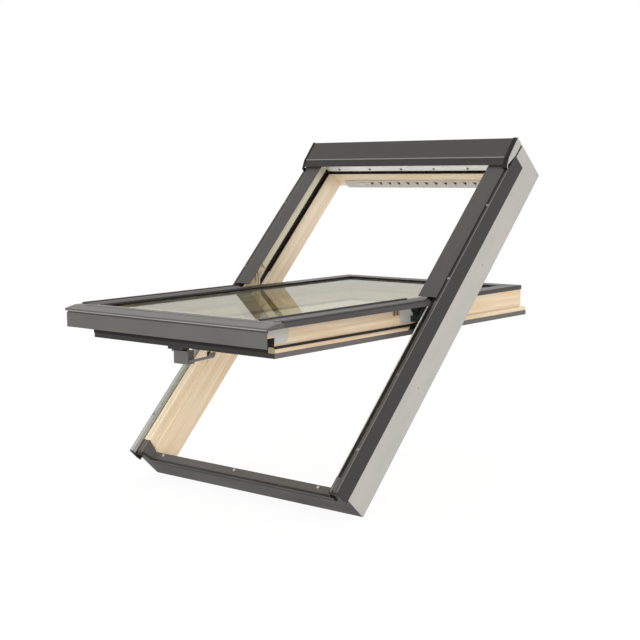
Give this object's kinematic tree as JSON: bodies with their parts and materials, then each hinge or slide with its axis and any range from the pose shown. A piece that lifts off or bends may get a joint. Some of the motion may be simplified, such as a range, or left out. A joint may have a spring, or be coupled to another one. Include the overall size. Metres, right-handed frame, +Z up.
{
  "type": "pivot window",
  "caption": "Timber centre-pivot roof window: a frame at roof slope with dark metal covers and a glazed sash that swings on curved hinge slides, with a handle and a vent.",
  "frame": {"origin": "middle of the sill's room face, at the lower end of the frame", "axes": "+X across the window, +Y into the building, +Z up; the frame stands at the roof's slope about X"},
  "size_m": [0.78, 1.1645, 0.9694],
  "materials": {
    "timber": "clear lacquered pine",
    "dark_metal": "satin grey brown paint on folded sheet",
    "light_metal": "matt mill finish",
    "rubber": "matt",
    "glass": "clear float glass",
    "grey_trim": "satin",
    "hinge_metal": "zinc plated",
    "vent_plastic": "satin",
    "black_plastic": "satin",
    "handle_metal": "satin grey"
  },
  "bodies": {
    "frame": {"frame_left_stile": "timber", "frame_right_stile": "timber", "frame_top_rail": "timber", "frame_sill": "timber", "left_side_plate": "light_metal", "right_side_plate": "light_metal", "left_frame_cover": "dark_metal", "right_frame_cover": "dark_metal", "sill_cover": "dark_metal", "left_sill_corner": "dark_metal", "right_sill_corner": "dark_metal", "sill_screws": "light_metal", "left_upper_cover": "dark_metal", "right_upper_cover": "dark_metal", "top_hood": "dark_metal", "left_hood_end": "light_metal", "right_hood_end": "light_metal", "head_strip": "light_metal", "strip_screws": "light_metal", "left_rebate_strip": "light_metal", "right_rebate_strip": "light_metal", "left_frame_seal": "rubber", "right_frame_seal": "rubber", "head_seal": "rubber", "left_channel_gasket": "rubber", "right_channel_gasket": "rubber", "vent_grille": "vent_plastic", "left_hinge_channel": "hinge_metal", "right_hinge_channel": "hinge_metal", "keeper_plate": "light_metal", "cover_screws": "light_metal"},
    "sash": {"sash_left_stile": "timber", "sash_right_stile": "timber", "sash_top_rail": "timber", "sash_bottom_rail": "timber", "outer_pane": "glass", "inner_pane": "glass", "spacer_bar": "light_metal", "glazing_gasket": "rubber", "sash_left_lower_cover": "dark_metal", "sash_right_lower_cover": "dark_metal", "sash_left_upper_cover": "dark_metal", "sash_right_upper_cover": "dark_metal", "sash_top_cover": "dark_metal", "sash_bottom_cover": "dark_metal", "left_corner_plate": "light_metal", "right_corner_plate": "light_metal", "left_sash_seal": "rubber", "right_sash_seal": "rubber", "bottom_sash_seal": "rubber", "left_inner_lip": "grey_trim", "right_inner_lip": "grey_trim", "top_inner_lip": "grey_trim", "bottom_inner_lip": "grey_trim", "left_hinge_arc": "hinge_metal", "right_hinge_arc": "hinge_metal", "handle_base": "black_plastic"},
    "lever": {"handle_lever": "handle_metal"},
    "slider": {"vent_slider": "vent_plastic"}
  },
  "joints": [
    {"name": "sash_pivot", "type": "hinge", "parent": "frame", "child": "sash", "pos_m": [0, 0.29317, 0.52992], "axis": [-1, 0, 0], "range_deg": [-45.8, 90]},
    {"name": "handle_turn", "type": "hinge", "parent": "sash", "child": "lever", "pos_m": [-0.028, -0.23648, 0.3643], "axis": [0, -0.0209, 0.9998], "range_deg": [0, 90]},
    {"name": "vent_slide", "type": "slide", "parent": "frame", "child": "slider", "axis": [1, 0, 0], "range_m": [0, 0.018]}
  ]
}
